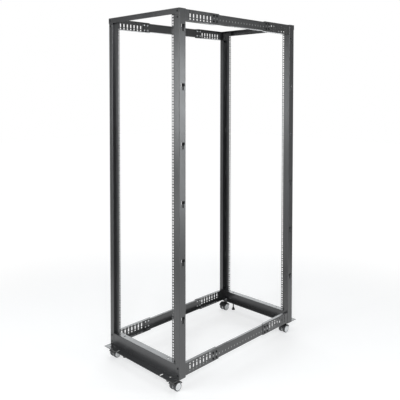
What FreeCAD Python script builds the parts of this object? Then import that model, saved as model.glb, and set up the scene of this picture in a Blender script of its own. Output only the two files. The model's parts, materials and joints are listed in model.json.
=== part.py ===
import FreeCAD, Part
import os
import Sketcher

# Open-frame four-post equipment rack with telescoping depth rails, on swivel casters.
# Millimetres. Origin on the floor at the middle of the rack, X to the right, -Y the front, +Z up.

doc = FreeCAD.newDocument("OpenFrameRack")
sizes = doc.addObject("Spreadsheet::Sheet", "Sizes")

DRIVING = [
    # overall frame
    ("rackWidth", 600),          # over the side flanges
    ("mountDepth", 1016),        # front mounting plane to rear mounting plane
    ("unitCount", 42),
    ("unitPitch", 44.45),
    ("casterHeight", 67),        # floor to the underside of the base plates
    ("plateGauge", 3),
    ("baseHeight", 71),          # base plate to the top of the base beam
    ("topHeight", 31),           # front face of the top beam
    ("sheetGauge", 2),           # posts, beams, brackets and bars
    ("bendRadius", 2.5),         # outside of every fold
    # roll-formed post
    ("openWidth", 450),          # clear opening between mounting flanges
    ("holeSpan", 465.1),         # left hole row to right hole row
    ("holeSize", 9.5),           # square hole for a cage nut
    ("holeLow", 6.35),           # hole heights within one unit
    ("holeMiddle", 22.225),
    ("holeHigh", 38.1),
    ("bandWidth", 32),           # outer face of the post
    ("stepDepth", 18),           # mounting flange set back behind the outer face
    ("sideDepth", 48.5),         # side flange, front to back
    ("lipWidth", 29),            # return lip of the side flange
    ("keyFirst", 222.5),         # lowest keyhole above the base beam
    ("keyUnits", 7),             # units from keyhole to keyhole
    ("keyCount", 6),
    ("keySetback", 28),          # keyhole behind the outer face
    ("keyHeadWidth", 24),
    ("keyHeadHeight", 16),
    ("keyNeckWidth", 10),
    ("keyNeckHeight", 21),
    ("notchClearance", 1),       # round what passes the notches of a post
    # beams and base plates
    ("baseFlange", 40),          # top flange of the base beam, front to back
    ("beamInset", 27),           # base beam ends inside the overall width
    ("topFlange", 48),           # top beam, front to back
    ("plateOut", 64),            # base plate in front of the mounting plane
    ("plateIn", 30),             # base plate behind the mounting plane
    ("anchorInset", 110),        # anchor slots and levelling feet in from the side
    ("anchorOut", 47),
    ("anchorWidth", 11),
    ("anchorLength", 24),
    ("boltInset", 57),           # round floor holes in from the side
    ("cornerInset", 16),
    ("boltOut", 30),
    ("boltRadius", 5.5),
    # depth rails
    ("bracketHeight", 61.5),
    ("lowerExtra", 6),           # the lower rails are this much taller
    ("bracketFlange", 20),       # top flange of a bracket
    ("bracketShelf", 34),        # its wider bottom flange
    ("shelfRelief", 17),         # full width of the shelf starts behind the mounting plane
    ("bracketReach", 298),       # from the mounting plane to the bracket's end
    ("tabWidth", 23),            # end tab behind the outer face of the post
    ("slotCount", 7),
    ("slotPitch", 26.7),
    ("slotFirst", 66),           # first slot column behind the mounting plane
    ("slotWidth", 9.5),
    ("longSlot", 20),
    ("shortSlot", 8),
    ("slotWeb", 5),              # metal between the slots of a column
    ("barHeight", 53.5),
    ("barFlange", 16),
    ("barShelf", 30),
    ("barOverlap", 52),          # bar inside a bracket at full depth
    ("slideGap", 0.5),           # between a bar and its brackets
    ("flangeChamfer", 24),       # corner cut off a bracket flange at its end
    ("tabRelief", 5),            # end tab short of the bracket's edges
    # casters
    ("casterInset", 38.5),       # swivel axis in from the side
    ("casterIn", 6),             # swivel axis behind the mounting plane
    ("stemRadius", 5),
    ("stemClearance", 0.5),
    ("stemEnd", 1.5),            # stem past its nut
    ("nutRadius", 9),
    ("nutHeight", 6.5),
    ("raceRadius", 16),
    ("raceHeight", 7),
    ("swivelGap", 0.5),
    ("crownRadius", 14),
    ("wheelRadius", 24),
    ("wheelWidth", 17),          # each of the twin wheels
    ("wheelGap", 14),            # between the twin wheels
    ("tyreBevel", 2.5),
    ("rimRadius", 17),
    ("dishDepth", 3),            # wheel face set in from its rim
    ("capRadius", 6.5),
    ("capHeight", 1.5),
    ("capWall", 2),              # closes the bore at the wheel's face
    ("trail", 16),               # axle in front of the swivel axis
    ("axleRadius", 4),
    ("axleClearance", 0.05),
    ("hoodWeb", 8),              # between the twin wheels
    ("hoodGauge", 2),
    ("hoodGap", 4),              # hood over the wheels
    ("hoodAngle", 140),
    ("bossRadius", 9),
    # levelling feet
    ("footIn", 5),               # behind the mounting plane
    ("footLift", 15),            # foot above the floor
    ("footRadius", 12),
    ("footDisc", 6),
    ("footCone", 12),
    ("footStem", 4),
]
for row, (alias, value) in enumerate(DRIVING, start=1):
    sizes.set("A%d" % row, alias)
    sizes.set("B%d" % row, str(value))
    sizes.setAlias("B%d" % row, alias)
doc.recompute()

# Heights that several pieces share, written as expressions on the sheet.
PLATE_TOP = "(Sizes.casterHeight + Sizes.plateGauge)"
BEAM_TOP = "(%s + Sizes.baseHeight)" % PLATE_TOP
OPENING = "(Sizes.unitCount * Sizes.unitPitch)"
RACK_TOP = "(%s + %s + Sizes.topHeight)" % (BEAM_TOP, OPENING)
POST_TOP = "(%s - Sizes.sheetGauge)" % RACK_TOP
HALF_WIDTH = "(Sizes.rackWidth / 2)"
GAUGE = "Sizes.sheetGauge"
ANCHOR_X = "%s - Sizes.anchorInset" % HALF_WIDTH
CASTER_X = "%s - Sizes.casterInset" % HALF_WIDTH

CORNERS = [("front_left", -1, -1), ("front_right", 1, -1), ("rear_left", -1, 1), ("rear_right", 1, 1)]
ENDS = [("front", -1), ("rear", 1)]
pieces = []


def across(side, inner):
    return "%d * (%s)" % (side, inner)


def outward(end, inner):
    # distance in front of the mounting plane at the front, behind it at the rear
    return "%d * (Sizes.mountDepth / 2 + (%s))" % (end, inner)


def number(expression):
    return float(sizes.evalExpression(expression))


def makeBody(label):
    body = doc.addObject("PartDesign::Body", label)
    body.Label = label
    pieces.append(body)
    return body


def originFeature(body, role):
    return [feature for feature in body.Origin.OriginFeatures if feature.Role == role][0]


def makeSketch(body, role, offset="0"):
    sketch = body.newObject("Sketcher::SketchObject", body.Label + "_sketch")
    sketch.AttachmentSupport = (originFeature(body, role), [""])
    sketch.MapMode = "FlatFace"
    sketch.setExpression("AttachmentOffset.Base.z", offset)
    return sketch


def pin(sketch, geometry, point, x, y):
    # ties one point of the sketch to two expressions
    for kind, expression in (("DistanceX", x), ("DistanceY", y)):
        index = sketch.addConstraint(Sketcher.Constraint(kind, -1, 1, geometry, point, number(expression)))
        sketch.setExpression("Constraints[%d]" % index, expression)


def addPolygon(sketch, points):
    first = sketch.GeometryCount
    corners = [FreeCAD.Vector(number(x), number(y), 0) for x, y in points]
    count = len(points)
    for i in range(count):
        sketch.addGeometry(Part.LineSegment(corners[i], corners[(i + 1) % count]), False)
    for i in range(count):
        sketch.addConstraint(Sketcher.Constraint("Coincident", first + i, 2, first + (i + 1) % count, 1))
    for i, (x, y) in enumerate(points):
        pin(sketch, first + i, 1, x, y)


def addRectangle(sketch, x0, x1, y0, y1):
    addPolygon(sketch, [(x0, y0), (x1, y0), (x1, y1), (x0, y1)])


def addCircle(sketch, x, y, radius):
    centre = FreeCAD.Vector(number(x), number(y), 0)
    index = sketch.addGeometry(Part.Circle(centre, FreeCAD.Vector(0, 0, 1), number(radius)), False)
    pin(sketch, index, 3, x, y)
    limit = sketch.addConstraint(Sketcher.Constraint("Radius", index, number(radius)))
    sketch.setExpression("Constraints[%d]" % limit, radius)


def extrude(body, kind, sketch, length, backwards=False, symmetric=False):
    feature = body.newObject("PartDesign::" + kind, body.Label + "_" + kind.lower())
    feature.Profile = sketch
    feature.setExpression("Length", length)
    feature.Reversed = backwards
    if symmetric:
        feature.SideType = "Symmetric"
    return feature


def revolve(body, sketch, role):
    feature = body.newObject("PartDesign::Revolution", body.Label + "_revolution")
    feature.Profile = sketch
    feature.ReferenceAxis = (originFeature(body, role), [""])
    feature.Angle = 360
    return feature


def repeat(body, feature, role, count, length, backwards=False):
    pattern = body.newObject("PartDesign::LinearPattern", body.Label + "_pattern")
    pattern.Originals = [feature]
    pattern.Direction = (originFeature(body, role), [""])
    pattern.Reversed = backwards
    pattern.setExpression("Occurrences", count)
    pattern.setExpression("Length", length)
    body.Tip = pattern
    return pattern


def roundFolds(body, feature, axis, corners):
    # rounds the long outside edges that run along one axis through the given corners
    doc.recompute()
    spots = [(number(first), number(second)) for first, second in corners]
    names = []
    for index, edge in enumerate(feature.Shape.Edges, start=1):
        ends = [[vertex.X, vertex.Y, vertex.Z] for vertex in (edge.Vertexes[0], edge.Vertexes[-1])]
        for end in ends:
            del end[axis]
        for spot in spots:
            if all(abs(end[i] - spot[i]) < 0.001 for end in ends for i in (0, 1)):
                names.append("Edge%d" % index)
    fillet = body.newObject("PartDesign::Fillet", body.Label + "_folds")
    fillet.Base = (feature, names)
    fillet.setExpression("Radius", "Sizes.bendRadius")
    return fillet


def place(body, x, y, z):
    for axis, expression in (("x", x), ("y", y), ("z", z)):
        body.setExpression("Placement.Base." + axis, expression)


def makePost(label, side, end):
    # Z-stepped post: mounting flange, step, outer face, side flange and return lip.
    body = makeBody(label)
    step = "%s - Sizes.bandWidth" % HALF_WIDTH
    face = "Sizes.stepDepth"
    tail = "Sizes.stepDepth - Sizes.sideDepth"
    profile = [
        ("Sizes.openWidth / 2", "0"),
        (step, "0"),
        (step, face),
        (HALF_WIDTH, face),
        (HALF_WIDTH, tail),
        ("%s - Sizes.lipWidth" % HALF_WIDTH, tail),
        ("%s - Sizes.lipWidth" % HALF_WIDTH, "%s + %s" % (tail, GAUGE)),
        ("%s - %s" % (HALF_WIDTH, GAUGE), "%s + %s" % (tail, GAUGE)),
        ("%s - %s" % (HALF_WIDTH, GAUGE), "%s - %s" % (face, GAUGE)),
        ("%s + %s" % (step, GAUGE), "%s - %s" % (face, GAUGE)),
        ("%s + %s" % (step, GAUGE), "-" + GAUGE),
        ("Sizes.openWidth / 2", "-" + GAUGE),
    ]
    outline = makeSketch(body, "XY_Plane", PLATE_TOP)
    addPolygon(outline, [(across(side, x), outward(end, y)) for x, y in profile])
    sheet = extrude(body, "Pad", outline, "%s - %s" % (POST_TOP, PLATE_TOP))
    outsides = [(step, face), (HALF_WIDTH, face), (HALF_WIDTH, tail),
                ("%s + %s" % (step, GAUGE), "-" + GAUGE)]
    roundFolds(body, sheet, 2, [(across(side, x), outward(end, y)) for x, y in outsides])

    # the mounting flange and its step stop on the base beam
    foot = makeSketch(body, "XY_Plane", PLATE_TOP)
    addRectangle(foot, across(side, "Sizes.openWidth / 2 - " + GAUGE),
                 across(side, "%s + 2 * %s" % (step, GAUGE)),
                 outward(end, "%s - %s" % (face, GAUGE)), outward(end, "-2 * " + GAUGE))
    extrude(body, "Pocket", foot, "Sizes.baseHeight", backwards=True)

    # the return lip stops short of the depth rails
    lipSpan = (across(side, "%s - Sizes.lipWidth - %s" % (HALF_WIDTH, GAUGE)),
               across(side, "%s - %s" % (HALF_WIDTH, GAUGE)),
               outward(end, "%s - %s" % (tail, GAUGE)), outward(end, "%s + 2 * %s" % (tail, GAUGE)))
    lowLip = makeSketch(body, "XY_Plane", PLATE_TOP)
    addRectangle(lowLip, *lipSpan)
    extrude(body, "Pocket", lowLip, "Sizes.baseHeight + Sizes.notchClearance", backwards=True)
    highLip = makeSketch(body, "XY_Plane", POST_TOP)
    addRectangle(highLip, *lipSpan)
    extrude(body, "Pocket", highLip, "Sizes.bracketHeight + Sizes.notchClearance")

    # three square holes a unit
    squares = makeSketch(body, "XZ_Plane", "-(%s)" % outward(end, "-%s / 2" % GAUGE))
    half = "Sizes.holeSize / 2"
    for height in ("Sizes.holeLow", "Sizes.holeMiddle", "Sizes.holeHigh"):
        addRectangle(squares, across(side, "Sizes.holeSpan / 2 - " + half),
                     across(side, "Sizes.holeSpan / 2 + " + half),
                     "%s + %s - %s" % (BEAM_TOP, height, half), "%s + %s + %s" % (BEAM_TOP, height, half))
    punch = extrude(body, "Pocket", squares, "3 * " + GAUGE, symmetric=True)
    doc.recompute()
    repeat(body, punch, "Z_Axis", "Sizes.unitCount", "(Sizes.unitCount - 1) * Sizes.unitPitch")

    # keyholes for cable hooks down the side flange
    keyhole = makeSketch(body, "YZ_Plane", across(side, "%s - %s / 2" % (HALF_WIDTH, GAUGE)))
    low = "%s + Sizes.keyFirst" % BEAM_TOP
    neck = "%s + Sizes.keyNeckHeight" % low
    head = "%s + Sizes.keyHeadHeight" % neck
    centre = "Sizes.stepDepth - Sizes.keySetback"
    outlinePoints = [
        ("%s + Sizes.keyNeckWidth / 2" % centre, low),
        ("%s + Sizes.keyNeckWidth / 2" % centre, neck),
        ("%s + Sizes.keyHeadWidth / 2" % centre, neck),
        ("%s + Sizes.keyHeadWidth / 2" % centre, head),
        ("%s - Sizes.keyHeadWidth / 2" % centre, head),
        ("%s - Sizes.keyHeadWidth / 2" % centre, neck),
        ("%s - Sizes.keyNeckWidth / 2" % centre, neck),
        ("%s - Sizes.keyNeckWidth / 2" % centre, low),
    ]
    addPolygon(keyhole, [(outward(end, y), z) for y, z in outlinePoints])
    keyCut = extrude(body, "Pocket", keyhole, "3 * " + GAUGE, symmetric=True)
    doc.recompute()
    repeat(body, keyCut, "Z_Axis", "Sizes.keyCount",
           "(Sizes.keyCount - 1) * Sizes.keyUnits * Sizes.unitPitch")


def makeTopBeam(label, end):
    # folded angle: a front face over the post tops and a flange that caps them
    body = makeBody(label)
    face = "Sizes.stepDepth"
    back = "%s - Sizes.topFlange" % face
    lowEdge = "%s - Sizes.topHeight" % RACK_TOP
    profile = [
        ("%s + %s" % (face, GAUGE), lowEdge),
        ("%s + %s" % (face, GAUGE), RACK_TOP),
        (back, RACK_TOP),
        (back, POST_TOP),
        (face, POST_TOP),
        (face, lowEdge),
    ]
    outline = makeSketch(body, "YZ_Plane")
    addPolygon(outline, [(outward(end, y), z) for y, z in profile])
    sheet = extrude(body, "Pad", outline, "Sizes.rackWidth", symmetric=True)
    roundFolds(body, sheet, 0, [(outward(end, "%s + %s" % (face, GAUGE)), RACK_TOP)])


def makeBaseBeam(label, end):
    # folded angle behind the post faces: web on the base plate and a top flange turned inwards
    body = makeBody(label)
    face = "Sizes.stepDepth - " + GAUGE
    back = "%s - Sizes.baseFlange" % face
    profile = [
        (face, PLATE_TOP),
        (face, BEAM_TOP),
        (back, BEAM_TOP),
        (back, "%s - %s" % (BEAM_TOP, GAUGE)),
        ("%s - %s" % (face, GAUGE), "%s - %s" % (BEAM_TOP, GAUGE)),
        ("%s - %s" % (face, GAUGE), PLATE_TOP),
    ]
    outline = makeSketch(body, "YZ_Plane")
    addPolygon(outline, [(outward(end, y), z) for y, z in profile])
    sheet = extrude(body, "Pad", outline, "Sizes.rackWidth - 2 * Sizes.beamInset", symmetric=True)
    roundFolds(body, sheet, 0, [(outward(end, face), BEAM_TOP)])
    # holes over the levelling feet, for turning their stems
    access = makeSketch(body, "XY_Plane", "%s - %s / 2" % (BEAM_TOP, GAUGE))
    for side in (-1, 1):
        addCircle(access, across(side, ANCHOR_X), outward(end, "-Sizes.footIn"), "Sizes.boltRadius")
    extrude(body, "Pocket", access, "3 * " + GAUGE, symmetric=True)


def makeBasePlate(label, end):
    # flat plate under the beam and both posts, standing out in front for floor anchors
    body = makeBody(label)
    outline = makeSketch(body, "XY_Plane", "Sizes.casterHeight")
    addRectangle(outline, across(-1, HALF_WIDTH), across(1, HALF_WIDTH),
                 outward(end, "Sizes.plateOut"), outward(end, "-Sizes.plateIn"))
    extrude(body, "Pad", outline, "Sizes.plateGauge")
    holes = makeSketch(body, "XY_Plane", "Sizes.casterHeight + Sizes.plateGauge / 2")
    for side in (-1, 1):
        addRectangle(holes, across(side, "%s - Sizes.anchorWidth / 2" % ANCHOR_X),
                     across(side, "%s + Sizes.anchorWidth / 2" % ANCHOR_X),
                     outward(end, "Sizes.anchorOut + Sizes.anchorLength / 2"),
                     outward(end, "Sizes.anchorOut - Sizes.anchorLength / 2"))
        for inset in ("Sizes.boltInset", "Sizes.cornerInset"):
            addCircle(holes, across(side, "%s - %s" % (HALF_WIDTH, inset)), outward(end, "Sizes.boltOut"),
                      "Sizes.boltRadius")
        addCircle(holes, across(side, CASTER_X), outward(end, "-Sizes.casterIn"),
                  "Sizes.stemRadius + Sizes.stemClearance")
        addCircle(holes, across(side, ANCHOR_X), outward(end, "-Sizes.footIn"),
                  "Sizes.footStem + Sizes.stemClearance")
    extrude(body, "Pocket", holes, "3 * Sizes.plateGauge", symmetric=True)


def railProfile(side, outer, height, flange, shelf, low):
    # channel with its web outwards, a top flange and a wider bottom one
    web = "%s - %s" % (outer, GAUGE)
    topLip = "%s - %s" % (outer, flange)
    lowLip = "%s - %s" % (outer, shelf)
    high = "%s + %s" % (low, height)
    points = [
        (outer, low),
        (outer, high),
        (topLip, high),
        (topLip, "%s - %s" % (high, GAUGE)),
        (web, "%s - %s" % (high, GAUGE)),
        (web, "%s + %s" % (low, GAUGE)),
        (lowLip, "%s + %s" % (low, GAUGE)),
        (lowLip, low),
    ]
    return [(across(side, x), z) for x, z in points]


def railHeight(level, height):
    # the lower rails reach further down than the upper ones
    if level == "upper":
        return height
    return "(%s + Sizes.lowerExtra)" % height


def bracketLow(level):
    top = POST_TOP if level == "upper" else BEAM_TOP
    return "%s - %s" % (top, railHeight(level, "Sizes.bracketHeight"))


def makeBracket(label, side, end, level):
    # slotted end bracket, screwed behind the outer face of its post
    body = makeBody(label)
    outer = "%s - %s" % (HALF_WIDTH, GAUGE)
    low = bracketLow(level)
    height = railHeight(level, "Sizes.bracketHeight")
    start = "Sizes.stepDepth - " + GAUGE
    channel = makeSketch(body, "XZ_Plane", "-(%s)" % outward(end, start))
    addPolygon(channel, railProfile(side, outer, height, "Sizes.bracketFlange", "Sizes.bracketShelf", low))
    high = "%s + %s" % (low, height)
    sheet = extrude(body, "Pad", channel, "Sizes.bracketReach + %s" % start, backwards=(end < 0))
    roundFolds(body, sheet, 1, [(across(side, outer), low), (across(side, outer), high)])
    tab = makeSketch(body, "XZ_Plane", "-(%s)" % outward(end, start))
    addRectangle(tab, across(side, "%s - Sizes.tabWidth" % outer), across(side, outer),
                 "%s + Sizes.tabRelief" % low, "%s - Sizes.tabRelief" % high)
    extrude(body, "Pad", tab, GAUGE, backwards=(end < 0))

    # beside the post the bottom flange is no wider than the top one
    relief = makeSketch(body, "XY_Plane", "%s + %s / 2" % (low, GAUGE))
    addRectangle(relief, across(side, "%s - Sizes.bracketFlange" % outer),
                 across(side, "%s - Sizes.bracketShelf - %s" % (outer, GAUGE)),
                 outward(end, "%s + %s" % (start, GAUGE)), outward(end, "-Sizes.shelfRelief"))
    extrude(body, "Pocket", relief, "3 * " + GAUGE, symmetric=True)

    # the flanges' free corners are cut off at a slant
    corner = makeSketch(body, "XY_Plane", "%s + %s / 2" % (low, height))
    lip = "%s - Sizes.bracketShelf - %s" % (outer, GAUGE)
    web = "%s - %s" % (outer, GAUGE)
    addPolygon(corner, [
        (across(side, web), outward(end, "-Sizes.bracketReach")),
        (across(side, web), outward(end, "-Sizes.bracketReach - " + GAUGE)),
        (across(side, lip), outward(end, "-Sizes.bracketReach - " + GAUGE)),
        (across(side, lip), outward(end, "-Sizes.bracketReach + Sizes.flangeChamfer")),
    ])
    extrude(body, "Pocket", corner, "%s + 2 * %s" % (height, GAUGE), symmetric=True)

    # columns of one long slot and a short one under it, and at the lower rails another over it
    slots = makeSketch(body, "YZ_Plane", across(side, "%s - %s / 2" % (outer, GAUGE)))
    middle = "%s - Sizes.bracketHeight / 2" % high
    nearEdge = outward(end, "-Sizes.slotFirst + Sizes.slotWidth / 2")
    farEdge = outward(end, "-Sizes.slotFirst - Sizes.slotWidth / 2")
    addRectangle(slots, nearEdge, farEdge, "%s - Sizes.longSlot / 2" % middle,
                 "%s + Sizes.longSlot / 2" % middle)
    gapEdge = "(Sizes.longSlot / 2 + Sizes.slotWeb)"
    if level == "lower":
        addRectangle(slots, nearEdge, farEdge, "%s + %s" % (middle, gapEdge),
                     "%s + %s + Sizes.shortSlot" % (middle, gapEdge))
    addRectangle(slots, nearEdge, farEdge, "%s - %s - Sizes.shortSlot" % (middle, gapEdge),
                 "%s - %s" % (middle, gapEdge))
    cut = extrude(body, "Pocket", slots, "3 * " + GAUGE, symmetric=True)
    doc.recompute()
    repeat(body, cut, "Y_Axis", "Sizes.slotCount", "(Sizes.slotCount - 1) * Sizes.slotPitch",
           backwards=(end > 0))


def makeBar(label, side, level):
    # middle bar, sliding inside the brackets at its two ends
    body = makeBody(label)
    outer = "%s - 2 * %s - Sizes.slideGap" % (HALF_WIDTH, GAUGE)
    low = "%s + (Sizes.bracketHeight - Sizes.barHeight) / 2" % bracketLow(level)
    height = railHeight(level, "Sizes.barHeight")
    channel = makeSketch(body, "XZ_Plane")
    addPolygon(channel, railProfile(side, outer, height, "Sizes.barFlange", "Sizes.barShelf", low))
    sheet = extrude(body, "Pad", channel,
                    "Sizes.mountDepth - 2 * Sizes.bracketReach + 2 * Sizes.barOverlap", symmetric=True)
    high = "%s + %s" % (low, height)
    roundFolds(body, sheet, 1, [(across(side, outer), low), (across(side, outer), high)])


def makeStem(label, side, end):
    # threaded stem with its nut over the plate and the swivel race under it
    body = makeBody(label)
    outline = makeSketch(body, "XZ_Plane")
    top = "Sizes.casterHeight"
    nutTop = "%s + Sizes.nutHeight" % PLATE_TOP
    addPolygon(outline, [
        ("0", "%s - Sizes.raceHeight" % top),
        ("Sizes.raceRadius", "%s - Sizes.raceHeight" % top),
        ("Sizes.raceRadius", top),
        ("Sizes.stemRadius", top),
        ("Sizes.stemRadius", PLATE_TOP),
        ("Sizes.nutRadius", PLATE_TOP),
        ("Sizes.nutRadius", nutTop),
        ("Sizes.stemRadius", nutTop),
        ("Sizes.stemRadius", "%s + Sizes.stemEnd" % nutTop),
        ("0", "%s + Sizes.stemEnd" % nutTop),
    ])
    revolve(body, outline, "Z_Axis")
    place(body, across(side, CASTER_X), outward(end, "-Sizes.casterIn"), "0")


def makeFork(label, side, end):
    # hooded body of a twin-wheel caster: crown, middle web, hood and axle
    body = makeBody(label)
    crownTop = "Sizes.casterHeight - Sizes.raceHeight - Sizes.swivelGap"
    hoodInside = "Sizes.wheelRadius + Sizes.hoodGap"
    hoodTop = "2 * Sizes.wheelRadius + Sizes.hoodGap"
    hood = makeSketch(body, "XZ_Plane", "Sizes.trail")
    hood.setExpression("AttachmentOffset.Base.y", "Sizes.wheelRadius")
    half = "Sizes.wheelGap / 2 + Sizes.wheelWidth"
    addRectangle(hood, "-(%s)" % half, half, hoodInside, "%s + Sizes.hoodGauge" % hoodInside)
    arch = body.newObject("PartDesign::Revolution", label + "_hood")
    arch.Profile = hood
    arch.ReferenceAxis = (hood, ["H_Axis"])
    arch.setExpression("Angle", "Sizes.hoodAngle")
    arch.Midplane = True
    web = makeSketch(body, "YZ_Plane")
    addPolygon(web, [
        ("-Sizes.crownRadius", hoodTop),
        ("Sizes.crownRadius", hoodTop),
        ("Sizes.bossRadius - Sizes.trail", "Sizes.wheelRadius"),
        ("-Sizes.bossRadius - Sizes.trail", "Sizes.wheelRadius"),
    ])
    extrude(body, "Pad", web, "Sizes.hoodWeb", symmetric=True)
    boss = makeSketch(body, "YZ_Plane")
    addCircle(boss, "-Sizes.trail", "Sizes.wheelRadius", "Sizes.bossRadius")
    extrude(body, "Pad", boss, "Sizes.hoodWeb", symmetric=True)
    crown = makeSketch(body, "XY_Plane", hoodTop)
    addCircle(crown, "0", "0", "Sizes.crownRadius")
    extrude(body, "Pad", crown, "%s - (%s)" % (crownTop, hoodTop))
    axle = makeSketch(body, "YZ_Plane")
    addCircle(axle, "-Sizes.trail", "Sizes.wheelRadius", "Sizes.axleRadius")
    extrude(body, "Pad", axle, "2 * (%s - Sizes.dishDepth - Sizes.capWall)" % half, symmetric=True)
    place(body, across(side, CASTER_X), outward(end, "-Sizes.casterIn"), "0")


def makeWheel(label, side, end):
    # twin wheels on one axle, each with a dished face and a bevelled tread
    body = makeBody(label)
    outline = makeSketch(body, "XZ_Plane")
    inside = "Sizes.wheelGap / 2"
    outside = "%s + Sizes.wheelWidth" % inside
    dish = "%s - Sizes.dishDepth" % outside
    bore = "Sizes.axleRadius + Sizes.axleClearance"
    boreEnd = "%s - Sizes.capWall + Sizes.axleClearance" % dish
    profile = [
        (inside, bore),
        (boreEnd, bore),
        (boreEnd, "0"),
        ("%s + Sizes.capHeight" % dish, "0"),
        ("%s + Sizes.capHeight" % dish, "Sizes.capRadius"),
        (dish, "Sizes.capRadius"),
        (dish, "Sizes.rimRadius"),
        (outside, "Sizes.rimRadius + Sizes.dishDepth"),
        (outside, "Sizes.wheelRadius - Sizes.tyreBevel"),
        ("%s - Sizes.tyreBevel" % outside, "Sizes.wheelRadius"),
        ("%s + Sizes.tyreBevel" % inside, "Sizes.wheelRadius"),
        (inside, "Sizes.wheelRadius - Sizes.tyreBevel"),
    ]
    addPolygon(outline, profile)
    addPolygon(outline, [("-(%s)" % x, z) for x, z in profile])
    revolve(body, outline, "X_Axis")
    place(body, across(side, CASTER_X), "%s - Sizes.trail" % outward(end, "-Sizes.casterIn"),
          "Sizes.wheelRadius")


def makeFoot(label, side, end):
    # levelling foot on its threaded stem, with a lock nut under the plate
    body = makeBody(label)
    outline = makeSketch(body, "XZ_Plane")
    disc = "Sizes.footLift + Sizes.footDisc"
    cone = "%s + Sizes.footCone" % disc
    nutLow = "Sizes.casterHeight - Sizes.nutHeight"
    addPolygon(outline, [
        ("0", "Sizes.footLift"),
        ("Sizes.footRadius", "Sizes.footLift"),
        ("Sizes.footRadius", disc),
        ("Sizes.footStem", cone),
        ("Sizes.footStem", nutLow),
        ("2 * Sizes.footStem", nutLow),
        ("2 * Sizes.footStem", "Sizes.casterHeight"),
        ("Sizes.footStem", "Sizes.casterHeight"),
        ("Sizes.footStem", "%s + Sizes.footCone" % PLATE_TOP),
        ("0", "%s + Sizes.footCone" % PLATE_TOP),
    ])
    revolve(body, outline, "Z_Axis")
    place(body, across(side, ANCHOR_X), outward(end, "-Sizes.footIn"), "0")


for corner, side, end in CORNERS:
    makePost(corner + "_post", side, end)
    makeStem(corner + "_caster_stem", side, end)
    makeFork(corner + "_caster_fork", side, end)
    makeWheel(corner + "_caster_wheel", side, end)
    makeFoot(corner + "_levelling_foot", side, end)
    for level in ("upper", "lower"):
        makeBracket("%s_%s_bracket" % (corner, level), side, end, level)
for name, end in ENDS:
    makeTopBeam(name + "_top_beam", end)
    makeBaseBeam(name + "_base_beam", end)
    makeBasePlate(name + "_base_plate", end)
for name, side in (("left", -1), ("right", 1)):
    for level in ("upper", "lower"):
        makeBar("%s_%s_bar" % (name, level), side, level)
doc.recompute()

for item in doc.Objects:
    if "Invalid" in item.State or "Error" in item.State:
        raise RuntimeError("%s failed: %s" % (item.Label, item.State))
for piece in pieces:
    if piece.Shape.isNull() or not piece.Shape.isValid():
        raise RuntimeError("%s has no valid shape" % piece.Label)

os.makedirs("parts", exist_ok=True)
for piece in pieces:
    piece.Shape.exportStep("parts/%s.step" % piece.Label)
    print("%-32s %10.1f mm3" % (piece.Label, piece.Shape.Volume))
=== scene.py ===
import json
import math

import bmesh
import bpy
from mathutils import Matrix, Vector


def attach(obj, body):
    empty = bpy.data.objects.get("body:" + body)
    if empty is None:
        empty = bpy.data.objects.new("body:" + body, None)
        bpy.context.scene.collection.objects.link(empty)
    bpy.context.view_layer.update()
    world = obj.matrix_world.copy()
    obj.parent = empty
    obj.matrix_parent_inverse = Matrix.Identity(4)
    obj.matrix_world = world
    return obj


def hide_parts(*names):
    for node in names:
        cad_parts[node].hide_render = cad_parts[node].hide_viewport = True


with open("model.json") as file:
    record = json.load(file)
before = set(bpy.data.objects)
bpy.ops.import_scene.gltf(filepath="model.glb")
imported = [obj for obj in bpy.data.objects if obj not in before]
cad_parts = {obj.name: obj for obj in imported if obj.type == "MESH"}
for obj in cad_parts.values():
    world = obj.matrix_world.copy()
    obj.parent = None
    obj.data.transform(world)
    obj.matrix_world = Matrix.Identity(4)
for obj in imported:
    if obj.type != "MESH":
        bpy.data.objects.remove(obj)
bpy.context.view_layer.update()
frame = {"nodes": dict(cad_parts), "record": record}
print("frame loaded:", len(frame["nodes"]), "nodes")

# name, side and end of each corner of the rack
corners = [("front_left", -1, -1), ("front_right", 1, -1), ("rear_left", -1, 1), ("rear_right", 1, 1)]


# node helpers

def plug(tree, source, socket):
    # a link from another socket, or else a plain value
    if isinstance(source, bpy.types.NodeSocket):
        tree.links.new(source, socket)
    else:
        socket.default_value = source


def addMath(tree, operation, *sources):
    node = tree.nodes.new("ShaderNodeMath")
    node.operation = operation
    for source, socket in zip(sources, node.inputs):
        plug(tree, source, socket)
    return node.outputs[0]


def addRange(tree, value, start=(0, 1), end=(0, 1), blend="LINEAR"):
    # takes a value from the start range to the end range
    node = tree.nodes.new("ShaderNodeMapRange")
    node.interpolation_type = blend
    plug(tree, value, node.inputs["Value"])
    for name, source in zip(("From Min", "From Max", "To Min", "To Max"), (*start, *end)):
        plug(tree, source, node.inputs[name])
    return node.outputs["Result"]


def addMix(tree, share, first, second):
    node = tree.nodes.new("ShaderNodeMix")
    node.data_type = "RGBA"
    for name, source in (("Factor", share), ("A", first), ("B", second)):
        plug(tree, source, node.inputs[name])
    return node.outputs["Result"]


def addNoise(tree, place, scale, detail):
    node = tree.nodes.new("ShaderNodeTexNoise")
    node.inputs["Scale"].default_value = scale
    node.inputs["Detail"].default_value = detail
    tree.links.new(place, node.inputs["Vector"])
    return node.outputs["Fac"]


# camera, lights and stage

view = {
    "place": (2.3193, -2.4963, 1.5939),
    "tiltDeg": 88.0,      # from straight down
    "turnDeg": 44.9,      # to the left of straight back
    "lens": 48.65,        # lens and sensor in millimetres
    "sensor": 36,
    "shift": (0.033, -0.220),
    "clipEnd": 60,
}


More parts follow.
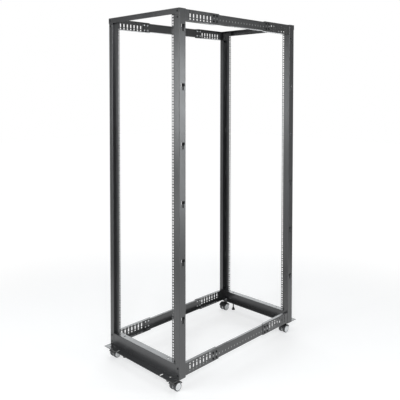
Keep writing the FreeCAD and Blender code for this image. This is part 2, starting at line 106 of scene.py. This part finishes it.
def setCamera(spec):
    cam = bpy.data.cameras.new("rackCamera")
    cam.sensor_width = spec["sensor"]
    cam.lens = spec["lens"]
    cam.shift_x, cam.shift_y = spec["shift"]
    cam.clip_end = spec["clipEnd"]
    obj = bpy.data.objects.new("rackCamera", cam)
    obj.location = spec["place"]
    obj.rotation_euler = (math.radians(spec["tiltDeg"]), 0, math.radians(spec["turnDeg"]))
    bpy.context.scene.collection.objects.link(obj)
    bpy.context.scene.camera = obj


studio = {
    "fillStrength": 0.65,     # what the walls of the studio give the object
    "wallStrength": 0.36,     # walls at eye height, as the coat mirrors them
    "upStrength": 0.24,       # the same walls towards the ceiling
    "wallRise": (0.0, 0.35),  # rise of a ray over which wall turns to ceiling
    "softboxes": [
        # name, place, aim, width, height, watts
        ("rightBox", (2.60, 1.50, 1.60), (0.3, -0.45, 1.5), 0.6, 1.1, 15),
        ("rightLowBox", (2.50, 1.40, 0.55), (0.3, -0.45, 0.5), 0.7, 0.9, 7),
        ("wheelBox", (2.0, -0.9, 0.45), (0.25, -0.5, 0.05), 0.7, 0.5, 7),
        ("frontBox", (-1.75, -2.70, 1.55), (0.2, -0.5, 1.5), 0.6, 1.1, 9),
        ("frontLowBox", (-1.70, -2.50, 0.30), (0.1, -0.5, 0.5), 0.8, 0.5, 2),
        ("frontFill", (-0.8, -3.1, 1.4), (0.1, -0.5, 1.0), 1.0, 1.8, 30),
        ("cameraBox", (2.6, -2.9, 2.6), (0.0, 0.0, 1.0), 1.2, 1.2, 66),
        ("backBox", (-3.9, 2.40, 2.3), (0.0, 0.0, 0.4), 1.8, 2.6, 42),
        ("backDimBox", (-2.3, 3.80, 2.2), (0.0, 0.2, 0.2), 2.0, 2.6, 46),
        ("topBox", (0.2, -0.2, 4.4), (0.0, 0.0, 0.8), 3.0, 3.0, 45),
    ],
    "lampColour": (0.95, 0.98, 1.0),
    "floorReach": 14,         # metres to each side
    "floorColour": (0.55, 0.55, 0.55),
    "floorRough": 0.9,
    "floorSheen": 0.1,
    "floorGlow": 0.53,        # lifts the paper to white where nothing shades it
    "paperFade": (1.3, 2.6),  # metres from the rack over which the paper turns plain white
}


def addSoftbox(colour, name, place, aim, width, height, watts):
    lamp = bpy.data.lights.new(name, "AREA")
    lamp.shape = "RECTANGLE"
    lamp.size, lamp.size_y = width, height
    lamp.energy = watts
    lamp.color = colour
    obj = bpy.data.objects.new(name, lamp)
    obj.location = place
    obj.rotation_euler = (Vector(aim) - Vector(place)).to_track_quat("-Z", "Y").to_euler()
    bpy.context.scene.collection.objects.link(obj)


def seenByEye(tree):
    # 1 for camera, glossy and transmission rays, 0 for the light that falls on things
    path = tree.nodes.new("ShaderNodeLightPath")
    direct = addMath(tree, "MAXIMUM", path.outputs["Is Camera Ray"], path.outputs["Is Glossy Ray"])
    return addMath(tree, "MAXIMUM", direct, path.outputs["Is Transmission Ray"])


def setWorld(spec):
    # white to the eye, with dimmer walls and ceiling for what the coat mirrors
    world = bpy.data.worlds.new("studioWorld")
    bpy.context.scene.world = world
    world.use_nodes = True
    tree = world.node_tree
    back = tree.nodes["Background"]
    back.inputs["Color"].default_value = (1, 1, 1, 1)
    coords = tree.nodes.new("ShaderNodeTexCoord")
    axes = tree.nodes.new("ShaderNodeSeparateXYZ")
    tree.links.new(coords.outputs["Generated"], axes.inputs[0])
    strengths = (spec["wallStrength"], spec["upStrength"])
    wall = addRange(tree, axes.outputs["Z"], spec["wallRise"], strengths, "SMOOTHSTEP")
    share = addRange(tree, seenByEye(tree), end=(spec["fillStrength"], 1.0))
    dimmed = addMath(tree, "MULTIPLY", wall, share)
    path = tree.nodes.new("ShaderNodeLightPath")
    strength = addMath(tree, "MAXIMUM", dimmed, path.outputs["Is Camera Ray"])
    tree.links.new(strength, back.inputs["Strength"])


def makePaper(spec):
    # takes the rack's shadow near it, and is plain white to the eye far from it
    mat = bpy.data.materials.new("floorPaper")
    mat.use_nodes = True
    tree = mat.node_tree
    shader = tree.nodes["Principled BSDF"]
    shader.inputs["Roughness"].default_value = spec["floorRough"]
    shader.inputs["Specular IOR Level"].default_value = spec["floorSheen"]
    shader.inputs["Emission Color"].default_value = (1, 1, 1, 1)
    coords = tree.nodes.new("ShaderNodeTexCoord")
    away = tree.nodes.new("ShaderNodeVectorMath")
    away.operation = "LENGTH"
    tree.links.new(coords.outputs["Object"], away.inputs[0])
    far = addRange(tree, away.outputs["Value"], spec["paperFade"], blend="SMOOTHSTEP")
    paper = addMix(tree, far, (*spec["floorColour"], 1), (0, 0, 0, 1))
    tree.links.new(paper, shader.inputs["Base Color"])
    path = tree.nodes.new("ShaderNodeLightPath")
    farGlow = addRange(tree, path.outputs["Is Camera Ray"], end=(spec["wallStrength"], 1.0))
    lift = addRange(tree, far, end=(spec["floorGlow"], farGlow))
    glow = addMath(tree, "MULTIPLY", lift, seenByEye(tree))
    tree.links.new(glow, shader.inputs["Emission Strength"])
    return mat


def addFloor(spec):
    bm = bmesh.new()
    bmesh.ops.create_grid(bm, x_segments=1, y_segments=1, size=spec["floorReach"])
    mesh = bpy.data.meshes.new("studioFloor")
    bm.to_mesh(mesh)
    bm.free()
    floor = bpy.data.objects.new("studioFloor", mesh)
    bpy.context.scene.collection.objects.link(floor)
    mesh.materials.append(makePaper(spec))


setCamera(view)
setWorld(studio)
for box in studio["softboxes"]:
    addSoftbox(studio["lampColour"], *box)
addFloor(studio)
bpy.context.scene.view_settings.view_transform = "Standard"
print("camera, lights and floor set")


# finishes

grain = {
    "cloud": (9, 3),           # scale and detail of each noise
    "peel": (420, 2),
    "speck": (1700, 1),
    "cloudShare": 0.65,        # parts of the colour's change
    "speckShare": 0.35,
    "glossRange": (0.3, 0.7),  # part of the cloud over which the gloss changes
    "speckLift": 0.25,         # height of the specks on the peel
}


def newGroup(name, inputs, outputs):
    group = bpy.data.node_groups.new(name, "ShaderNodeTree")
    for label, kind, value in inputs:
        socket = group.interface.new_socket(label, in_out="INPUT", socket_type=kind)
        socket.default_value = value
    for label, kind in outputs:
        group.interface.new_socket(label, in_out="OUTPUT", socket_type=kind)
    start = group.nodes.new("NodeGroupInput")
    end = group.nodes.new("NodeGroupOutput")
    return group, start, end


def makeCoatGroup(spec):
    # grain of a baked powder coat: cloudy colour, fine orange peel, uneven gloss
    group, start, end = newGroup(
        "powderGrain",
        [("Vector", "NodeSocketVector", (0, 0, 0)),
         ("Dark", "NodeSocketColor", (0.03, 0.03, 0.03, 1)),
         ("Light", "NodeSocketColor", (0.05, 0.05, 0.05, 1)),
         ("Rough Low", "NodeSocketFloat", 0.35),
         ("Rough High", "NodeSocketFloat", 0.45)],
        [("Colour", "NodeSocketColor"), ("Roughness", "NodeSocketFloat"), ("Height", "NodeSocketFloat")])
    given = start.outputs
    cloud = addNoise(group, given["Vector"], *spec["cloud"])
    peel = addNoise(group, given["Vector"], *spec["peel"])
    speck = addNoise(group, given["Vector"], *spec["speck"])
    cloudPart = addMath(group, "MULTIPLY", cloud, spec["cloudShare"])
    share = addMath(group, "MULTIPLY_ADD", speck, spec["speckShare"], cloudPart)
    colour = addMix(group, share, given["Dark"], given["Light"])
    rough = addRange(group, cloud, spec["glossRange"], (given["Rough Low"], given["Rough High"]))
    height = addMath(group, "MULTIPLY_ADD", speck, spec["speckLift"], peel)
    for name, result in (("Colour", colour), ("Roughness", rough), ("Height", height)):
        group.links.new(result, end.inputs[name])
    return group


powderGrain = makeCoatGroup(grain)


def makeFinish(name, spec):
    mat = bpy.data.materials.new(name)
    mat.use_nodes = True
    nodes, links = mat.node_tree.nodes, mat.node_tree.links
    shader = nodes["Principled BSDF"]
    coords = nodes.new("ShaderNodeTexCoord")
    coat = nodes.new("ShaderNodeGroup")
    coat.node_tree = powderGrain
    coat.inputs["Dark"].default_value = (*spec["dark"], 1)
    coat.inputs["Light"].default_value = (*spec["light"], 1)
    coat.inputs["Rough Low"].default_value = spec["rough"][0]
    coat.inputs["Rough High"].default_value = spec["rough"][1]
    links.new(coords.outputs["Object"], coat.inputs["Vector"])
    links.new(coat.outputs["Colour"], shader.inputs["Base Color"])
    links.new(coat.outputs["Roughness"], shader.inputs["Roughness"])
    bump = nodes.new("ShaderNodeBump")
    bump.inputs["Strength"].default_value = spec["bump"]
    bump.inputs["Distance"].default_value = spec["peel"]
    links.new(coat.outputs["Height"], bump.inputs["Height"])
    links.new(bump.outputs["Normal"], shader.inputs["Normal"])
    shader.inputs["IOR"].default_value = spec["ior"]
    shader.inputs["Metallic"].default_value = spec.get("metal", 0)
    return mat


blackCoat = makeFinish("blackPowderCoat", {
    "dark": (0.017, 0.0175, 0.018), "light": (0.025, 0.0255, 0.027),
    "rough": (0.28, 0.34), "bump": 0.25, "peel": 0.00012, "ior": 1.85,
})
casterBlack = makeFinish("casterBlack", {
    "dark": (0.012, 0.012, 0.013), "light": (0.020, 0.020, 0.021),
    "rough": (0.36, 0.48), "bump": 0.25, "peel": 0.0001, "ior": 1.5,
})
screwBlack = makeFinish("screwBlack", {
    "dark": (0.006, 0.006, 0.007), "light": (0.011, 0.011, 0.012),
    "rough": (0.34, 0.46), "bump": 0.15, "peel": 0.00005, "ior": 1.45,
})
zincSteel = makeFinish("zincSteel", {
    "dark": (0.66, 0.67, 0.68), "light": (0.78, 0.79, 0.80),
    "rough": (0.28, 0.42), "bump": 0.12, "peel": 0.00005, "ior": 1.5, "metal": 1,
})
tyreRubber = makeFinish("tyreRubber", {
    "dark": (0.050, 0.051, 0.053), "light": (0.075, 0.076, 0.078),
    "rough": (0.52, 0.66), "bump": 0.3, "peel": 0.00008, "ior": 1.5,
})
hubPlastic = makeFinish("hubPlastic", {
    "dark": (0.79, 0.795, 0.80), "light": (0.83, 0.835, 0.84),
    "rough": (0.38, 0.48), "bump": 0.1, "peel": 0.00006, "ior": 1.46,
})
footPlastic = makeFinish("footPlastic", {
    "dark": (0.010, 0.010, 0.010), "light": (0.018, 0.018, 0.018),
    "rough": (0.50, 0.62), "bump": 0.3, "peel": 0.00008, "ior": 1.46,
})
markInk = makeFinish("markInk", {
    "dark": (0.44, 0.44, 0.43), "light": (0.56, 0.56, 0.55),
    "rough": (0.50, 0.62), "bump": 0.15, "peel": 0.00004, "ior": 1.46,
})
slotFinish = {
    "black_powder_coat": blackCoat,
    "caster_steel": casterBlack,
    "grey_wheel": tyreRubber,
    "foot_black": footPlastic,
}
for part in frame["record"]["subparts"]:
    node = frame["nodes"][part["node"]]
    node.data.materials.clear()
    node.data.materials.append(slotFinish[part["material_slot"]])
print("finishes on", len(frame["nodes"]), "nodes")


# modelling helpers

cleaning = {
    "merge": 1e-6,      # metres
    "sliver": 1e-7,
    "creaseDeg": 35,    # edges sharper than this stay sharp
}


def closeMesh(bm, name, spec=cleaning):
    bmesh.ops.remove_doubles(bm, verts=bm.verts, dist=spec["merge"])
    bmesh.ops.dissolve_degenerate(bm, edges=bm.edges, dist=spec["sliver"])
    bmesh.ops.recalc_face_normals(bm, faces=bm.faces)
    for face in bm.faces:
        face.smooth = True
    crease = math.radians(spec["creaseDeg"])
    for edge in bm.edges:
        edge.smooth = len(edge.link_faces) == 2 and edge.calc_face_angle() < crease
    mesh = bpy.data.meshes.new(name)
    bm.to_mesh(mesh)
    bm.free()
    return mesh


def addPiece(bm, name, body, mats):
    mesh = closeMesh(bm, name)
    for mat in mats:
        mesh.materials.append(mat)
    obj = bpy.data.objects.new(name, mesh)
    bpy.context.scene.collection.objects.link(obj)
    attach(obj, body)
    return obj


def facing(place, out):
    # sets Z along the way out, at a place
    return Matrix.Translation(place) @ Vector(out).to_track_quat("Z", "Y").to_matrix().to_4x4()


def edgesOf(verts):
    # each edge once, in the order of the vertices
    return list(dict.fromkeys(edge for vert in verts for edge in vert.link_edges))


def sweep(bm, geom, centre, axis, angle, steps, rise=0, merge=False):
    # turns an outline about an axis, rising along it at each step
    bmesh.ops.spin(bm, geom=geom, cent=centre, axis=axis, dvec=Vector(axis) * rise, angle=angle,
                   steps=steps, space=Matrix.Identity(4), use_merge=merge, use_normal_flip=False,
                   use_duplicate=False)


def spinOutline(bm, outline, centre, axis, steps, closed=False, finish=0):
    # outline is (along the axis, out from it), turned right round
    axis = Vector(axis)
    out = axis.orthogonal().normalized()
    old = set(bm.faces)
    verts = [bm.verts.new(Vector(centre) + axis * along + out * reach) for along, reach in outline]
    edges = [bm.edges.new(pair) for pair in zip(verts, verts[1:])]
    if closed:
        edges.append(bm.edges.new((verts[-1], verts[0])))
    sweep(bm, verts + edges, centre, axis, math.tau, steps, merge=True)
    fresh = [face for face in bm.faces if face not in old]
    for face in fresh:
        face.material_index = finish
    return fresh


hexNut = {
    "chamfer": 0.10,    # share of the corner's reach
    "stud": [(0.25, 1.0), (0.35, 0.8), (0.35, 0.0)],    # (up, out) as shares of the hole
    "studSink": 0.0002, "studSteps": 16,
}


def addHexNut(bm, centre, axis, corner, height, hole, finish=0, spec=hexNut):
    # six-sided nut with its top corners taken off, standing on centre, with a stud's end in it
    middle = facing(centre, axis) @ Matrix.Translation((0, 0, height / 2))
    made = bmesh.ops.create_cone(bm, cap_ends=True, cap_tris=False, segments=6, radius1=corner,
                                 radius2=corner, depth=height, matrix=middle)
    faces = {face for vert in made["verts"] for face in vert.link_faces}
    for face in faces:
        face.material_index = finish
    axis = Vector(axis)
    top = max(faces, key=lambda face: (face.calc_center_median() - Vector(centre)).dot(axis))
    bmesh.ops.bevel(bm, geom=list(top.edges), offset=corner * spec["chamfer"], affect="EDGES", segments=2,
                    profile=0.5, material=-1)
    stud = [(height - spec["studSink"], hole)]
    stud += [(height + hole * up, hole * out) for up, out in spec["stud"]]
    spinOutline(bm, stud, centre, axis, spec["studSteps"], finish=finish)


def stampMesh(bm, pattern, place, out):
    # a copy of a small pattern mesh, its Z turned to face outwards
    first = len(bm.verts)
    bm.from_mesh(pattern)
    bm.verts.ensure_lookup_table()
    bmesh.ops.transform(bm, matrix=facing(place, out), verts=bm.verts[first:])


def socketRing(outline, perSide, height):
    # points of a closed outline, with each side cut into equal runs
    points = []
    for (x, y), (nextX, nextY) in zip(outline, outline[1:] + outline[:1]):
        for step in range(perSide):
            share = step / perSide
            points.append((x + (nextX - x) * share, y + (nextY - y) * share, height))
    return points


def recessHead(bm, points, rim, depth):
    # joins the open top of a head to a driver recess and closes its floor
    ring = [edge for edge in bm.edges if edge.is_boundary
            and all(abs(vert.co.z - rim) < cleaning["merge"] for vert in edge.verts)]
    verts = [bm.verts.new(point) for point in points]
    loop = [bm.edges.new(pair) for pair in zip(verts, verts[1:] + verts[:1])]
    bmesh.ops.bridge_loops(bm, edges=ring + loop)
    grown = bmesh.ops.extrude_edge_only(bm, edges=loop)["geom"]
    low = [item for item in grown if isinstance(item, bmesh.types.BMVert)]
    bmesh.ops.translate(bm, verts=low, vec=(0, 0, -depth))
    bmesh.ops.contextual_create(bm, geom=[item for item in grown if isinstance(item, bmesh.types.BMEdge)])


# screws

panHead = {
    "radius": 0.0058, "height": 0.0030, "sink": 0.0002, "flat": 0.0027,
    "dome": [(0.30, 1.0), (0.62, 0.92), (0.88, 0.74)],    # shares of the height and radius
    "armLong": 0.0021, "armHalf": 0.0006, "armRuns": 2, "recess": 0.0014, "steps": 24,
}


def makePanScrew(spec):
    # domed head with a cross recess
    bm = bmesh.new()
    radius, height, sink = spec["radius"], spec["height"], spec["sink"]
    outline = [(-sink, 0), (-sink, radius)]
    outline += [(height * up, radius * out) for up, out in spec["dome"]]
    outline.append((height, spec["flat"]))
    spinOutline(bm, outline, (0, 0, 0), (0, 0, 1), spec["steps"])
    reach, half = spec["armLong"], spec["armHalf"]
    cross = [(reach, -half), (reach, half), (half, half), (half, reach), (-half, reach), (-half, half),
             (-reach, half), (-reach, -half), (-half, -half), (-half, -reach), (half, -reach), (half, -half)]
    recessHead(bm, socketRing(cross, spec["armRuns"], height), height, spec["recess"])
    return closeMesh(bm, "panScrewPattern")


clampHead = {
    "washer": 0.0068, "washerHeight": 0.0011, "sink": 0.0002,
    "washerSide": 0.8, "washerRim": 0.97,        # shares of its height and radius
    "radius": 0.0052, "height": 0.0040, "flat": 0.0034,
    "side": 0.0012, "shoulder": (0.0027, 0.90),  # up from the washer, and share of the radius
    "key": 0.0025, "keyRuns": 4, "recess": 0.0022, "steps": 24,
}


def makeClampScrew(spec):
    # button head with a six-sided key socket, on a flat washer
    bm = bmesh.new()
    washer, base, sink = spec["washer"], spec["washerHeight"], spec["sink"]
    radius, height = spec["radius"], base + spec["height"]
    bend, narrow = spec["shoulder"]
    outline = [(-sink, 0), (-sink, washer), (base * spec["washerSide"], washer),
               (base, washer * spec["washerRim"]), (base, radius), (base + spec["side"], radius),
               (base + bend, radius * narrow), (height, spec["flat"])]
    spinOutline(bm, outline, (0, 0, 0), (0, 0, 1), spec["steps"])
    angles = [math.radians(60 * turn) for turn in range(6)]
    key = [(spec["key"] * math.cos(angle), spec["key"] * math.sin(angle)) for angle in angles]
    recessHead(bm, socketRing(key, spec["keyRuns"], height), height, spec["recess"])
    return closeMesh(bm, "clampScrewPattern")


screwPlaces = {
    "bandAcross": 0.2875,
    "bandFace": 0.526, "beamFace": 0.528,
    "bandHeights": (0.088, 0.1265, 1.991), "beamHeight": 2.0228,
    "clampAlong": (0.2551, 0.2284),
    "clampHeights": (0.0885, 0.1225, 1.9915, 2.0235), "pinHeights": (0.1055, 2.0075),
    "railFace": 0.298, "barInside": 0.2935,
    "nut": (0.0060, 0.0045, 0.0029),    # corner, height and hole
    "pin": [(-0.0002, 0), (-0.0002, 0.0026), (0.0004, 0.0026), (0.0009, 0.0018), (0.0011, 0)],
    "pinSteps": 14,
}


def addScrews(spec):
    pan = makePanScrew(panHead)
    clamp = makeClampScrew(clampHead)
    for end, body, sy in (("front", "front_frame", -1), ("rear", "rear_frame", 1)):
        band, rails, nuts = bmesh.new(), bmesh.new(), bmesh.new()
        for sx in (-1, 1):
            across = sx * spec["bandAcross"]
            for height in spec["bandHeights"]:
                stampMesh(band, pan, (across, sy * spec["bandFace"], height), (0, sy, 0))
            stampMesh(band, pan, (across, sy * spec["beamFace"], spec["beamHeight"]), (0, sy, 0))
            for along in spec["clampAlong"]:
                for height in spec["clampHeights"]:
                    stampMesh(rails, clamp, (sx * spec["railFace"], sy * along, height), (sx, 0, 0))
                    addHexNut(nuts, (sx * spec["barInside"], sy * along, height), (-sx, 0, 0), *spec["nut"])
                for height in spec["pinHeights"]:
                    place = (sx * spec["railFace"], sy * along, height)
                    spinOutline(nuts, spec["pin"], place, (sx, 0, 0), spec["pinSteps"])
        addPiece(band, end + "_post_screws", body, [screwBlack])
        addPiece(rails, end + "_rail_clamp_screws", body, [screwBlack])
        addPiece(nuts, end + "_rail_nuts_and_pins", body, [zincSteel])
    for pattern in (pan, clamp):
        bpy.data.meshes.remove(pattern)


addScrews(screwPlaces)
print("screws, nuts and pins added")


# depth marks

depthMarks = {
    "face": 0.2955, "heights": (0.1025, 2.0032), "pitch": 0.0267, "each": 16,
    "width": 0.0032, "tall": 0.0085, "ink": 0.00012, "corner": 0.0008,
}


def addDepthMarks(spec):
    # a row of printed ticks along the outer face of each middle bar
    bm = bmesh.new()
    first = -spec["pitch"] * (spec["each"] - 1) / 2
    size = Matrix.Diagonal((2 * spec["ink"], spec["width"], spec["tall"], 1))
    for sx in (-1, 1):
        for height in spec["heights"]:
            for tick in range(spec["each"]):
                place = Matrix.Translation((sx * spec["face"], first + tick * spec["pitch"], height))
                made = bmesh.ops.create_cube(bm, size=1, matrix=place @ size)
                thick = [edge for edge in edgesOf(made["verts"])
                         if abs(edge.verts[0].co.x - edge.verts[1].co.x) > spec["ink"]]
                bmesh.ops.bevel(bm, geom=thick, offset=spec["corner"], affect="EDGES", segments=2,
                                profile=0.5, material=-1)
    addPiece(bm, "depth_marks", "middle_bars", [markInk])


addDepthMarks(depthMarks)
print("depth marks printed")


# casters

caster = {
    "across": 0.2615, "along": 0.502, "trail": 0.016, "axleHeight": 0.024, "steps": 40,
    # outlines are (out from the middle between the wheels, out from the axle)
    "tyre": [(0.0070, 0.0196), (0.0070, 0.0218), (0.0078, 0.0232), (0.0096, 0.0239), (0.0125, 0.0240),
             (0.0188, 0.0240), (0.0214, 0.0239), (0.0230, 0.0232), (0.0237, 0.0220), (0.0238, 0.0206),
             (0.0234, 0.0196)],
    "hub": [(0.0205, 0.0), (0.0205, 0.0042), (0.0072, 0.0042), (0.0072, 0.0197), (0.0230, 0.0197),
            (0.0238, 0.0190), (0.0239, 0.0180), (0.0222, 0.0172), (0.0218, 0.0094), (0.0226, 0.0076),
            (0.0239, 0.0068), (0.0243, 0.0052), (0.0245, 0.0)],
    "spokes": 5,
    "pocketBand": (0.0098, 0.0170), "pocketFrom": 0.019,    # out from the axle and from the middle
    "pocketShare": (0.14, 0.86),                            # of the way from spoke to spoke
    "pocketRim": 0.0008, "pocketDepth": 0.0010,
    "lipRadius": 0.0016, "lipOut": 0.0237, "lipSides": 10, "lipSteps": 24,
    "hoodRadius": 0.0290, "hoodHalfDeg": 70,
}


def axleCentre(spec, sx, sy):
    return Vector((sx * spec["across"], sy * spec["along"] - spec["trail"], spec["axleHeight"]))


def addWheels(spec, corner, sx, sy):
    # twin wheels: dark tyres on pale dished hubs
    bm = bmesh.new()
    centre = axleCentre(spec, sx, sy)
    low, high = spec["pocketBand"]
    start, end = spec["pocketShare"]
    sector = math.tau / spec["spokes"]
    for way in (-1, 1):
        axis = Vector((way, 0, 0))
        spinOutline(bm, spec["tyre"], centre, axis, spec["steps"], closed=True, finish=0)
        hub = spinOutline(bm, spec["hub"], centre, axis, spec["steps"], finish=1)
        bmesh.ops.recalc_face_normals(bm, faces=hub)
        dish = []
        for face in hub:
            away = face.calc_center_median() - centre
            reach = math.hypot(away.y, away.z)
            if low < reach < high and away.x * way > spec["pocketFrom"]:
                dish.append((math.atan2(away.z, away.y) % math.tau, face))
        for spoke in range(spec["spokes"]):
            pocket = [face for angle, face in dish if start < (angle / sector - spoke) < end]
            bmesh.ops.inset_region(bm, faces=pocket, thickness=spec["pocketRim"],
                                   depth=-spec["pocketDepth"], use_even_offset=True)
    finishes = [tyreRubber, hubPlastic]
    wheels = addPiece(bm, corner + "_twin_wheels", corner + "_caster_roller", finishes)
    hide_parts(corner + "_caster_wheel")


def addHoodLip(spec, corner, sx, sy):
    # rolled edges along both sides of the hood
    bm = bmesh.new()
    centre = axleCentre(spec, sx, sy)
    halfTurn = math.radians(spec["hoodHalfDeg"])
    start = Matrix.Translation(centre) @ Matrix.Rotation(-halfTurn, 4, "X")
    for way in (-1, 1):
        rim = Matrix.Translation((way * spec["lipOut"], 0, spec["hoodRadius"]))
        upright = Matrix.Rotation(math.pi / 2, 4, "X")
        made = bmesh.ops.create_circle(bm, cap_ends=False, segments=spec["lipSides"],
                                       radius=spec["lipRadius"], matrix=start @ rim @ upright)
        ring = made["verts"] + edgesOf(made["verts"])
        sweep(bm, ring, centre, (1, 0, 0), 2 * halfTurn, spec["lipSteps"])
    bmesh.ops.holes_fill(bm, edges=[edge for edge in bm.edges if edge.is_boundary], sides=0)
    addPiece(bm, corner + "_hood_edges", corner + "_caster_swivel", [casterBlack])


stem = {
    # outlines are (height above the floor, out from the stem)
    "race": [(0.0600, 0.0), (0.0600, 0.0142), (0.0606, 0.0155), (0.0616, 0.0160), (0.0632, 0.0160),
             (0.0636, 0.0153), (0.0640, 0.0153), (0.0644, 0.0160), (0.0664, 0.0160), (0.0670, 0.0156),
             (0.0670, 0.0)],
    "stud": [(0.0668, 0.0), (0.0668, 0.0050), (0.0706, 0.0050), (0.0706, 0.0)],
    "steps": 32, "studSteps": 20,
    "nutFoot": 0.0700, "nut": (0.0090, 0.0063, 0.0046),    # corner, height and hole
}


def addStem(spec, corner, sx, sy, body):
    bm = bmesh.new()
    x, y = sx * caster["across"], sy * caster["along"]
    spinOutline(bm, spec["race"], (x, y, 0), (0, 0, 1), spec["steps"], finish=0)
    spinOutline(bm, spec["stud"], (x, y, 0), (0, 0, 1), spec["studSteps"], finish=1)
    addHexNut(bm, (x, y, spec["nutFoot"]), (0, 0, 1), *spec["nut"], finish=1)
    piece = addPiece(bm, corner + "_stem_and_nut", body, [casterBlack, zincSteel])
    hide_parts(corner + "_caster_stem")


# levelling feet

foot = {
    "across": 0.190, "along": 0.503,
    # outline is (height above the floor, out from the stud)
    "pad": [(0.0150, 0.0), (0.0150, 0.0112), (0.0156, 0.0119), (0.0164, 0.0120), (0.0200, 0.0120),
            (0.0208, 0.0116), (0.0214, 0.0104), (0.0262, 0.0078), (0.0318, 0.0060), (0.0336, 0.0056),
            (0.0340, 0.0050), (0.0340, 0.0)],
    "steps": 32,
    "threadFrom": 0.0336, "threadTo": 0.0674, "pitch": 0.00125, "core": 0.0034, "crest": 0.0040,
    "turnSteps": 12, "threadMerge": 1e-5,
    "nutFoot": 0.0605, "nutCorner": 0.0074, "nutHeight": 0.0062,
}


def addFoot(spec, corner, sx, sy, body):
    # moulded pad on a threaded stud, with a lock nut under the plate
    bm = bmesh.new()
    x, y = sx * spec["across"], sy * spec["along"]
    spinOutline(bm, spec["pad"], (x, y, 0), (0, 0, 1), spec["steps"], finish=0)
    bmesh.ops.recalc_face_normals(bm, faces=bm.faces)
    padVerts, padFaces = set(bm.verts), set(bm.faces)
    low, pitch, core = spec["threadFrom"], spec["pitch"], spec["core"]
    ridge = [bm.verts.new((x + reach, y, low + lift))
             for lift, reach in ((0, core), (pitch / 2, spec["crest"]), (pitch, core))]
    edges = [bm.edges.new(pair) for pair in zip(ridge, ridge[1:])]
    turns = int((spec["threadTo"] - low) / pitch) - 1
    steps = spec["turnSteps"]
    sweep(bm, ridge + edges, (x, y, 0), (0, 0, 1), math.tau * turns, steps * turns, rise=pitch / steps)
    thread = [vert for vert in bm.verts if vert not in padVerts]
    bmesh.ops.remove_doubles(bm, verts=thread, dist=spec["threadMerge"])
    bmesh.ops.holes_fill(bm, edges=[edge for edge in bm.edges if edge.is_boundary], sides=0)
    for face in bm.faces:
        if face not in padFaces:
            face.material_index = 1
    nut = (spec["nutCorner"], spec["nutHeight"], spec["crest"])
    addHexNut(bm, (x, y, spec["nutFoot"]), (0, 0, 1), *nut, finish=1)
    piece = addPiece(bm, corner + "_foot_and_stud", body, [footPlastic, casterBlack])
    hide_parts(corner + "_levelling_foot")


for corner, sx, sy in corners:
    body = corner.split("_")[0] + "_frame"
    addWheels(caster, corner, sx, sy)
    addHoodLip(caster, corner, sx, sy)
    addStem(stem, corner, sx, sy, body)
    addFoot(foot, corner, sx, sy, body)
print("casters and feet dressed")
